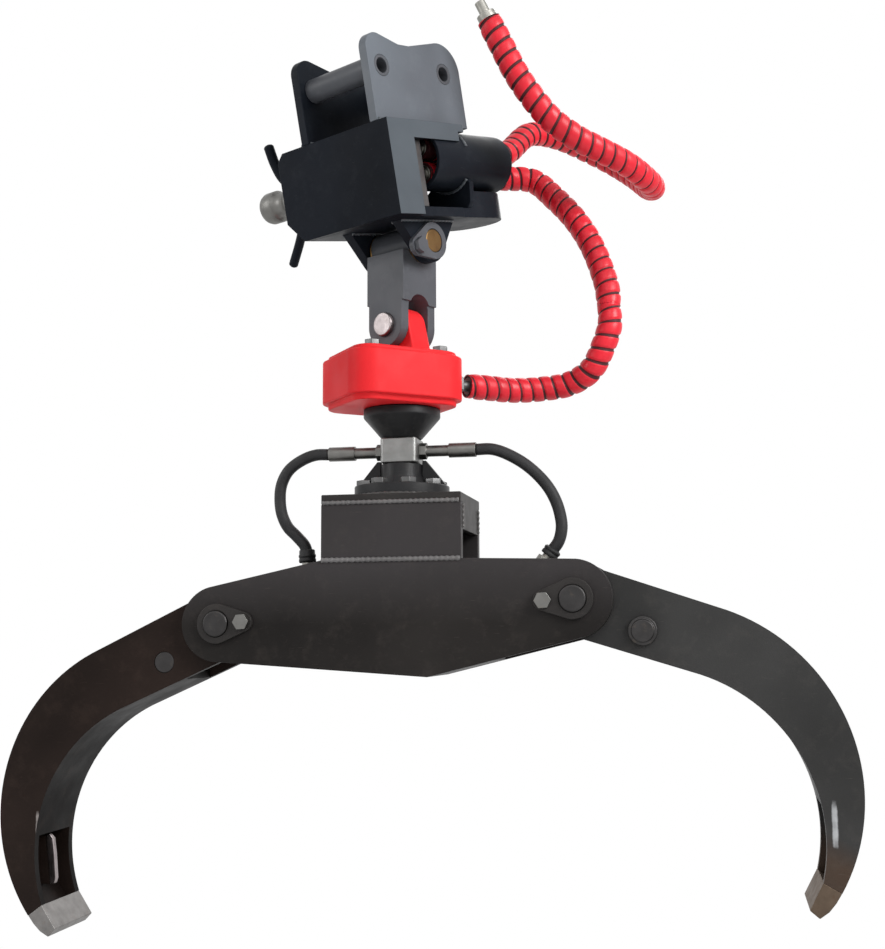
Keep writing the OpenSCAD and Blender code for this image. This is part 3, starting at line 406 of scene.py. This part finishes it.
# Meshes
def mesh_object(name, bm, mat, body=None):
    """An object from a bmesh, shaded smooth, riding on a body if one is named."""
    me = bpy.data.meshes.new(name)
    bmesh.ops.recalc_face_normals(bm, faces=bm.faces)
    bm.to_mesh(me)
    bm.free()
    me.materials.append(mat)
    for p in me.polygons:
        p.use_smooth = True
    o = bpy.data.objects.new(name, me)
    bpy.context.scene.collection.objects.link(o)
    if body:
        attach(o, body)
    return o


def basis(axis):
    """An axis and two directions square to it."""
    a = axis.normalized()
    u = a.cross(Vector((0, 0, 1)) if abs(a.z) < 0.9 else Vector((1, 0, 0))).normalized()
    return a, u, a.cross(u)


def ring_of(bm, at, u, v, radius, sides, origin=Vector()):
    """A ring of vertices in metres round a point in millimetres."""
    turns = [2 * math.pi * k / sides for k in range(sides)]
    return [bm.verts.new((at + (u * math.cos(t) + v * math.sin(t)) * radius - origin) / 1000) for t in turns]


def join_rings(bm, rings):
    """Side faces between rings of the same count."""
    for p, q in zip(rings, rings[1:]):
        for k in range(len(p)):
            n = (k + 1) % len(p)
            bm.faces.new((p[k], p[n], q[n], q[k]))


def tube(name, rings, bm, mat, body=None):
    """A bar or hose from its rings, closed at both ends."""
    join_rings(bm, rings)
    bm.faces.new(rings[0][::-1])
    bm.faces.new(rings[-1])
    return mesh_object(name, bm, mat, body)


POINT = 0.01


def add_lathe(bm, at, axis, profile, sides=40):
    """Turns (along, radius) pairs in millimetres about an axis from a place in metres.

    An end of radius POINT is left without a face.
    """
    a, u, v = basis(axis)
    rows = [ring_of(bm, at * 1000 + a * s, u, v, r, sides) for s, r in profile]
    join_rings(bm, rows)
    if profile[0][1] > POINT:
        bm.faces.new(rows[0][::-1])
    if profile[-1][1] > POINT:
        bm.faces.new(rows[-1])


# Hoses
def spline(a, b, c, d, t):
    """A point between b and c on the curve through all four, with its speed shared by distance."""
    l1, l2, l3 = (b - a).length, (c - b).length, (d - c).length
    m1 = l2 * ((b - a) / l1 - (c - a) / (l1 + l2) + (c - b) / l2)
    m2 = l2 * ((c - b) / l2 - (d - b) / (l2 + l3) + (d - c) / l3)
    return b + m1 * t + (3 * (c - b) - 2 * m1 - m2) * t * t + (m1 + m2 - 2 * (c - b)) * t ** 3


def curve_through(points, steps=24):
    """A fine polyline through points, with this many steps between two of them."""
    p = [Vector(q) for q in points]
    out = []
    for i in range(len(p) - 1):
        a = 2 * p[0] - p[1] if i == 0 else p[i - 1]
        d = p[i + 2] if i + 2 < len(p) else 2 * p[i + 1] - p[i]
        out += [spline(a, p[i], p[i + 1], d, s / steps) for s in range(steps)]
    return out + [p[-1]]


class Path:
    """A polyline with its arc length and a frame that doesn't twist."""

    def __init__(self, points):
        self.p = points
        self.s = [0.0]
        for a, b in zip(points, points[1:]):
            self.s.append(self.s[-1] + (b - a).length)
        self.length = self.s[-1]
        n = len(points)
        self.t = [(points[min(i + 1, n - 1)] - points[max(i - 1, 0)]).normalized() for i in range(n)]
        u = self.t[0].cross(Vector((0.1, 0.2, 1))).normalized()
        self.u = []
        for t in self.t:
            u = (u - t * u.dot(t)).normalized()
            self.u.append(u)
        self.i = 0

    def at(self, s):
        """The place, the way on and two square directions at a length along the path."""
        s = min(max(s, 0.0), self.length)
        while self.i + 2 < len(self.s) and self.s[self.i + 1] < s:
            self.i += 1
        while self.i > 0 and self.s[self.i] > s:
            self.i -= 1
        i = self.i
        f = (s - self.s[i]) / max(self.s[i + 1] - self.s[i], 1e-9)
        t = self.t[i].lerp(self.t[i + 1], f).normalized()
        u = self.u[i].lerp(self.u[i + 1], f)
        u = (u - t * u.dot(t)).normalized()
        return self.p[i].lerp(self.p[i + 1], f), t, u, t.cross(u)


GUARD_R = 15.0
GUARD_PITCH = 17.0
GROOVE_DEPTH = 1.9
GROOVE_SHARE = 0.16
FULLER = 1.3
HOSE_R = 7.3


def guard_radius(share):
    """The guard's radius at a share of its pitch."""
    if share < GROOVE_SHARE or share > 1 - 1e-9:
        return GUARD_R - GROOVE_DEPTH
    g = (share - GROOVE_SHARE) / (1 - GROOVE_SHARE)
    edge = min(g, 1 - g) / 0.14
    return GUARD_R - 0.9 * max(0.0, 1 - edge) ** 2 - 0.5 * (2 * g - 1) ** 2


def spiral_guard(name, route, start=0.0, slim=0.0, shaded_turns=-2):
    """A spiral wrap: one band wound round the hose, with a painted shade in the groove between its turns.

    start shifts the winding, slim is the length that stays slim enough for the sleeve, and the first turns
    that the
    last argument counts are all dark: a painted shade inside the sleeve.
    """
    rows, sides = 14, 36
    path = Path(curve_through(route))
    bm = bmesh.new()
    last = (math.ceil(path.length / GUARD_PITCH) + 1) * rows
    grid = {}
    for i in range(-rows, last + 1):
        r = guard_radius((i % rows) / rows)
        for k in range(sides):
            s = (i / rows + k / sides) * GUARD_PITCH + start
            p, t, u, v = path.at(s)
            full = min(max((s - slim) / 30, 0.0), 1.0) * min(max((path.length - s) / 12, 0.0), 1.0)
            a = 2 * math.pi * k / sides
            wave = 1 + 0.006 * noise.noise(Vector((s * 0.02, math.cos(a), math.sin(a))))
            out = u * math.cos(a) + v * math.sin(a)
            grid[i, k] = bm.verts.new((p + out * (r * wave + FULLER * full) - ORIGIN) / 1000)
    for i in range(-rows, last):
        for k in range(sides):
            if k + 1 < sides:
                q = [grid[i, k], grid[i, k + 1], grid[i + 1, k + 1], grid[i + 1, k]]
            elif i + rows + 1 <= last:
                q = [grid[i, k], grid[i + rows, 0], grid[i + rows + 1, 0], grid[i + 1, k]]
            else:
                continue
            # Groove faces and the first turns take the groove's painted shade.
            dark = (i % rows) / rows < GROOVE_SHARE or i < shaded_turns * rows
            bm.faces.new(q).material_index = 1 if dark else 0
    bmesh.ops.remove_doubles(bm, verts=bm.verts, dist=0.00003)
    o = mesh_object(name, bm, GUARD)
    o.data.materials.append(GROOVE)
    ends = bmesh.new()
    lip = [(-4, GUARD_R - 2.4), (0, GUARD_R - 1.0), (0.3, GUARD_R - 1.6), (0.3, 11.6), (-5, 11.4)]
    for s, sign in ((0.0, -1), (path.length, 1)):
        p, t, u, v = path.at(s)
        add_lathe(ends, (p - ORIGIN) / 1000 - t * sign * 0.0004, t * sign, lip, 32)
    return o, mesh_object(name + "_lips", ends, GROOVE), path


def round_hose(name, route, mat):
    """A plain round hose along a route."""
    sides, step = 28, 3.0
    path = Path(curve_through(route))
    bm = bmesh.new()
    n = int(path.length / step)
    rings = []
    for i in range(n + 1):
        p, t, u, v = path.at(path.length * i / n)
        rings.append(ring_of(bm, p, u, v, HOSE_R, sides, ORIGIN))
    return tube(name, rings, bm, mat)


# Routes, from the nut in the sleeve or the fitting onwards
SLEEVE_X, SLEEVE_Z, HOSE_OFF = 45, 102, 16.5
UPPER = [head_mm(SLEEVE_X, y, SLEEVE_Z + HOSE_OFF) for y in (10, 55, 107, 152, 182)] + [
    (147, 171, 666), (180, 209, 671), (216, 238, 661), (251, 243, 641), (283, 222, 611),
    (304, 188, 582), (312, 147, 568), (304, 105, 566), (283, 69, 574), (254, 42, 584),
    (224, 19, 595), (195, 1, 614), (171, -13, 642), (151, -21, 674), (136, -27, 706), (121, -33, 738),
]
MIDDLE = Vector((254, 86, 392))
SEAM_WAY = Vector((3, -6, -50)).normalized()
SEAM_RUN, PORT_RUN = 22, 32
LOWER_HEAD = [head_mm(SLEEVE_X, y, SLEEVE_Z - HOSE_OFF) for y in (10, 55, 107, 152, 174)] + [
    (152, 130, 583), (182, 122, 554), (208, 112, 522), (231, 103, 482), (246, 95, 441),
    MIDDLE - SEAM_RUN * SEAM_WAY, MIDDLE,
]
PORT = rotator_mm(82, -20, 286)
PORT_WAY = rotator_mm(1, 0, 0)
LOWER_ROTATOR = [
    MIDDLE + 0.3 * SEAM_WAY, MIDDLE + SEAM_RUN * SEAM_WAY, (246, 84, 340), (229, 91, 311), (201, 100, 296),
    (166, 97, 290), PORT + 2 * PORT_RUN * PORT_WAY, PORT + PORT_RUN * PORT_WAY, PORT,
]

# The cylinder's ports and the hoses to them
LEVER_R, LEVER_ANGLE = 62, math.radians(155)
LEVER = Vector((LEVER_R * math.cos(LEVER_ANGLE), LEVER_R * math.sin(LEVER_ANGLE)))
PIVOT_HALF = 217
BARREL_R, ROD_EYE_R, ROD_PORT_TILT = 27.5, 21, math.radians(40)
BOSS_RISE, FITTING_H, TOUCH_GAP, END_RUN = 4, 14, 0.3, 18
PORT_RISE = BOSS_RISE + FITTING_H + TOUCH_GAP
PORT_REACH = ROD_EYE_R + PORT_RISE
ROD_EYE = PIVOT_HALF + LEVER.x
PORT_LEFT = on_line(-118, LEVER.y + BARREL_R + PORT_RISE)
PORT_RIGHT = on_line(
    ROD_EYE + PORT_REACH * math.sin(ROD_PORT_TILT), LEVER.y + PORT_REACH * math.cos(ROD_PORT_TILT)
)
PORT_RIGHT_WAY = on_line(math.sin(ROD_PORT_TILT), math.cos(ROD_PORT_TILT))
HOSE_LEFT = [
    (-94.3, 0, 199), (-112, 0, 199), (-132, 0, 192), (-148, 0, 180), (-157, 0, 163), (-159, 0, 143),
    (-156, 0, 124), (-148, 0, 108), (-136, 0, 96),
    PORT_LEFT + Vector((-3, 0, END_RUN)), PORT_LEFT + Vector((-0.5, 0, END_RUN / 2)), PORT_LEFT,
]
HOSE_RIGHT = [
    (94.3, 0, 199), (112, 0, 199), (142, 0, 187), (167, 0, 168), (186, 0, 144), (196, 0, 118), (198, 0, 99),
    PORT_RIGHT + END_RUN * PORT_RIGHT_WAY, PORT_RIGHT + END_RUN / 2 * PORT_RIGHT_WAY, PORT_RIGHT,
]


IN_SLEEVE = 146
upper, upper_lips, upper_path = spiral_guard("upper_guard", UPPER, slim=IN_SLEEVE, shaded_turns=1)
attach(upper, "hitch_head")
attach(upper_lips, "hitch_head")
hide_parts("guard_hose_upper")

lower_a, lips_a, path_a = spiral_guard("lower_guard_head", LOWER_HEAD, slim=IN_SLEEVE)
lower_b, lips_b, _ = spiral_guard("lower_guard_rotator", LOWER_ROTATOR, start=-(path_a.length % GUARD_PITCH))
for o, lips, node, a, b, start, end in (
    (lower_a, lips_a, "guard_hose_head", "hitch_head", "swivel_link", G(125, 110, 590), G(254, 86, 392)),
    (lower_b, lips_b, "guard_hose_rotator", "swivel_link", "rotator_body", G(254, 86, 392), G(120, 62, 286)),
):
    for piece in (o, lips):
        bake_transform(piece)
    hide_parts(node)

left_hose = round_hose("cylinder_hose_left", HOSE_LEFT, HOSE)
right_hose = round_hose("cylinder_hose_right", HOSE_RIGHT, HOSE)
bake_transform(left_hose)
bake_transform(right_hose)
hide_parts("hose_left")
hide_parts("hose_right")
for name, port, way, body, tail in (
    ("hose_cuff_left", PORT_LEFT, on_line(0, 1), "ram_barrel", 5),
    ("hose_cuff_right", PORT_RIGHT, PORT_RIGHT_WAY, "ram_rod", 0),
):
    bm = bmesh.new()
    add_lathe(bm, G(*port), way, [
        (-1.5, 8.4), (-1.5, 10.2), (0, 10.8), (2.5, 10.8), (3.2, 10.2), (4.6, 10.2), (5.3, 10.8), (7.8, 10.8),
        (8.5, 10.0), (8.5 + tail, 9.8), (9.5 + tail, 9.0), (9.5 + tail, 8.0), (4, 7.8)])
    cuff = mesh_object(name, bm, HOSE, body)


# Welds
def weld_bead(name, points, radius, body, mat, closed=False):
    """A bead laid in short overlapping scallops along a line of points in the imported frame."""
    step, sides = 1.6, 8
    corners = [Vector(p) * 1000 for p in points]
    if closed:
        corners.append(corners[0])
    dense = []
    for a, b in zip(corners, corners[1:]):
        n = max(1, int((b - a).length / step))
        dense += [a.lerp(b, i / n) for i in range(n)]
    dense.append(corners[-1])
    path = Path(dense)
    bm = bmesh.new()
    rings = []
    for i, p in enumerate(dense):
        r = radius * (0.86 + 0.14 * math.cos(i * 1.57) + 0.10 * noise.noise(Vector((i * 0.35, 1, 0))))
        rings.append(ring_of(bm, p, path.u[i], path.t[i].cross(path.u[i]), r, sides))
    return tube(name, rings, bm, mat, body)


def arc(x, z, radius, angles):
    """Points (x, z) on a circle, at angles in degrees."""
    return [(x + radius * math.cos(math.radians(a)), z + radius * math.sin(math.radians(a))) for a in angles]


# Name, two ends and radius of each bead on the tower
TOWER = [
    ("weld_tower_front", [(-85, -62, 62), (85, -62, 62)], 3.4),
    ("weld_tower_back", [(-85, 62, 62), (85, 62, 62)], 3.4),
    ("weld_top_front", [(-84, -62, 131), (84, -62, 131)], 3.0),
    ("weld_top_back", [(-84, 62, 129), (84, 62, 129)], 2.0),
    ("weld_tower_left_front", [(-86, -50, 99), (-86, -50, 127)], 2.6),
    ("weld_tower_left_back", [(-86, 50, 99), (-86, 50, 127)], 2.6),
    ("weld_tower_right_front", [(86, -50, 99), (86, -50, 127)], 2.6),
    ("weld_tower_right_back", [(86, 50, 99), (86, 50, 127)], 2.6),
]
# The front welds take WELD_LIGHT: a painted highlight along the tower's front edges.
for name, pts, r in TOWER:
    front = name in ("weld_tower_front", "weld_top_front")
    weld_bead(name, [G(*p) for p in pts], r, "turning_frame", WELD_LIGHT if front else WELD)
FLANGE_R, FLANGE_FOOT = 59, 141.5
mast_ring = [G(x, y, FLANGE_FOOT) for x, y in arc(0, 0, FLANGE_R, range(0, 360, 6))]
weld_bead("weld_mast_flange", mast_ring, 2.2, "turning_frame", WELD, True)
EAR_FOOT, LUG_TOP = 142.6, 26.4
SLEEVE_R, SLEEVE_FRONT = 37, 60.5
for side in (-1, 1):
    tag = "right" if side > 0 else "left"
    for name, x, ends, z, r in (
        ("weld_ear_" + tag, 65, (-82, 58), EAR_FOOT, 3.0),
        ("weld_ear_in_" + tag, 53, (-80, 58), EAR_FOOT, 2.6),
        (f"weld_lug_{tag}_0", 35, (-50, 50), LUG_TOP, 2.4),
        (f"weld_lug_{tag}_1", 49, (-50, 50), LUG_TOP, 2.4),
    ):
        weld_bead(name, [H(side * x, y, z) for y in ends], r, "hitch_head", HEAD_WELD)
sleeve_ring = [H(x, SLEEVE_FRONT, z) for x, z in arc(SLEEVE_X, SLEEVE_Z, SLEEVE_R, range(20, 165, 5))]
weld_bead("weld_sleeve", sleeve_ring, 2.4, "hitch_head", HEAD_WELD)


# The head's small pieces
def rod_along(name, points, radius, mat, body):
    """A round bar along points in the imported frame, with rounded ends."""
    sides, flatten, cap = 24, 0.6, (80, 50, 20)
    path = Path(curve_through([Vector(q) * 1000 for q in points], 12))
    stops = [(0, -a) for a in cap] + [(i, 0) for i in range(len(path.p))] + [(-1, a) for a in reversed(cap)]
    bm = bmesh.new()
    rings = []
    for i, a in stops:
        t, u = path.t[i], path.u[i]
        at = path.p[i] + t * (math.sin(math.radians(a)) * radius * flatten)
        rings.append(ring_of(bm, at, u, t.cross(u), radius * math.cos(math.radians(a)), sides))
    return tube(name, rings, bm, mat, body)


HUB = (-144, -30, 92)
left_way = (H(-1, 0, 0) - H(0, 0, 0)).normalized()
bm = bmesh.new()
add_lathe(bm, H(*HUB), left_way, [
    (-0.4, 14), (0, 17), (1, 18), (7, 18), (8.5, 16.5), (26, 16.5), (28, 19.5), (30, 21), (46, 21),
    (50, 19.5), (52, 16), (52, 10), (50.5, 8.5), (50, 6), (50, POINT)], 48)
mesh_object("lock_pin_spring_cap", bm, ZINC_MID, "hitch_head")
HANDLE = [
    H(-160, -48, 166), H(-160, -42, 145), H(-153, -38, 124), H(-141, -34, 107), H(-128, -30, 92),
    H(-134, -26, 72), H(-158, -18, 45), H(-186, -11, 16),
]
handle = rod_along("lock_pin_bent_handle", HANDLE, 4.5, HEAD, "hitch_head")
top_grip = HANDLE[:3] + [HANDLE[2].lerp(HANDLE[3], 0.3)]
low_grip = [HANDLE[5].lerp(HANDLE[6], 0.4), HANDLE[6], HANDLE[7]]
rod_along("lock_pin_grip_top", top_grip, 6.8, HEAD, "hitch_head")
rod_along("lock_pin_grip_low", low_grip, 6.2, HEAD, "hitch_head")
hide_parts("lock_pin_handle")


def plate_piece(name, place, corners, y0, y1, mat, body, bevel):
    """A plate square to y in the frame of H or G, from (x, z) corners, with rounded edges."""
    bm = bmesh.new()
    a = [bm.verts.new(place(x, y0, z)) for x, z in corners]
    b = [bm.verts.new(place(x, y1, z)) for x, z in corners]
    bm.faces.new(a[::-1])
    bm.faces.new(b)
    join_rings(bm, [a, b])
    return smooth(mesh_object(name, bm, mat, body), bevel)


cradle = [(-19, 39.2), (67, 39.2), (73, 46), (76, 70)]
cradle += arc(SLEEVE_X, SLEEVE_Z, SLEEVE_R + 0.2, range(-45, -141, -5))
cradle += [(-6, 62), (-19, 50)]
plate_piece("sleeve_cradle", H, cradle, 62, 70, HEAD, "hitch_head", 1.0)
cradle_ring = [H(x, 61, z) for x, z in arc(SLEEVE_X, SLEEVE_Z, SLEEVE_R + 1.5, range(-45, -136, -5))]
weld_bead("weld_cradle", cradle_ring, 2.2, "hitch_head", HEAD_WELD)

# Small plates on the mast and in the left arm's pocket
GUSSET = [(57, 155.2), (31.4, 155.2), (26.6, 169), (26.6, 187), (31, 187)]
for side in (-1, 1):
    tag = "right" if side > 0 else "left"
    corners = [(side * x, z) for x, z in GUSSET]
    plate_piece("mast_gusset_" + tag, G, corners, -4, 4, ROTOR, "turning_frame", 0.8)
RIB = [(-487, -276), (-466, -278), (-458, -338), (-472, -338)]
RIB_EDGE = [
    (-466.2, -277), (-461, -275), (-456, -281), (-453, -300), (-450, -330), (-452, -337), (-458.2, -338),
]
plate_piece("pocket_rib_left", G, RIB, -3, 3, ARM_LEFT, "left_grab_arm", 0.6)
plate_piece("pocket_rib_edge_left", G, RIB_EDGE, -3.6, 3.6, PIN_PINK, "left_grab_arm", 1.4)


# Lights, background and floor
def area(name, at, towards, size, power):
    """An area light at a place, turned towards a point."""
    data = bpy.data.lights.new(name, "AREA")
    data.size = size
    data.energy = power
    o = bpy.data.objects.new(name, data)
    bpy.context.scene.collection.objects.link(o)
    o.location = at
    o.rotation_euler = (Vector(towards) - Vector(at)).to_track_quat("-Z", "Y").to_euler()


area("key", (2.6, -1.35, 0.9), (0, 0, -0.45), 1.5, 88)
area("front", (0.4, -3.0, 1.6), (0, 0, -0.5), 2.0, 20)
area("left", (-2.6, -1.3, 0.6), (0, 0, -0.5), 1.2, 20)
area("back", (0.6, 2.6, 1.4), (0, 0, -0.4), 1.6, 26)


def seen_rays(tree):
    """One for the rays that show the background: straight, mirrored or through glass."""
    rays = tree.nodes.new("ShaderNodeLightPath")
    found = rays.outputs["Is Camera Ray"]
    for name in ("Is Glossy Ray", "Is Transmission Ray"):
        either = tree.nodes.new("ShaderNodeMath")
        either.operation = "MAXIMUM"
        tree.links.new(found, either.inputs[0])
        tree.links.new(rays.outputs[name], either.inputs[1])
        found = either.outputs[0]
    return found


AMBIENT = 0.26
world = bpy.data.worlds.new("world")
bpy.context.scene.world = world
world.use_nodes = True
tree = world.node_tree
soft = tree.nodes["Background"]
soft.inputs[0].default_value = (1, 1, 1, 1)
soft.inputs[1].default_value = AMBIENT
white = tree.nodes.new("ShaderNodeBackground")
white.inputs[0].default_value = (1, 1, 1, 1)
white.inputs[1].default_value = 1.0
pick = tree.nodes.new("ShaderNodeMixShader")
tree.links.new(seen_rays(tree), pick.inputs[0])
tree.links.new(soft.outputs[0], pick.inputs[1])
tree.links.new(white.outputs[0], pick.inputs[2])
tree.links.new(pick.outputs[0], tree.nodes["World Output"].inputs[0])

# The grapple hangs, so the floor is low enough for the closed and tilted poses
FLOOR_DROP = 0.36
bm = bmesh.new()
bmesh.ops.create_grid(bm, x_segments=1, y_segments=1, size=30)
floor = mesh_object("floor", bm, bpy.data.materials.new("floor"))
floor.location = (0, 0, cad_box[0][2] - FLOOR_DROP)
paper = floor.data.materials[0]
paper.use_nodes = True
sheet = paper.node_tree
matt = sheet.nodes["Principled BSDF"]
matt.inputs["Base Color"].default_value = (0.9, 0.9, 0.9, 1)
matt.inputs["Roughness"].default_value = 0.9
matt.inputs["Specular IOR Level"].default_value = 0.0
glow = sheet.nodes.new("ShaderNodeEmission")
choose = sheet.nodes.new("ShaderNodeMixShader")
around = sheet.nodes.new("ShaderNodeVectorMath")
around.operation = "LENGTH"
sheet.links.new(sheet.nodes.new("ShaderNodeTexCoord").outputs["Object"], around.inputs[0])
fade = sheet.nodes.new("ShaderNodeMapRange")
for socket, v in (("From Min", 0.5), ("From Max", 1.3), ("To Min", 0.72), ("To Max", 1.0)):
    fade.inputs[socket].default_value = v
sheet.links.new(around.outputs["Value"], fade.inputs["Value"])
share = sheet.nodes.new("ShaderNodeMath")
share.operation = "MULTIPLY"
sheet.links.new(seen_rays(sheet), share.inputs[0])
sheet.links.new(fade.outputs[0], share.inputs[1])
sheet.links.new(share.outputs[0], choose.inputs[0])
sheet.links.new(matt.outputs[0], choose.inputs[1])
sheet.links.new(glow.outputs[0], choose.inputs[2])
sheet.links.new(choose.outputs[0], sheet.nodes["Material Output"].inputs[0])

bpy.context.scene.view_settings.view_transform = "Standard"
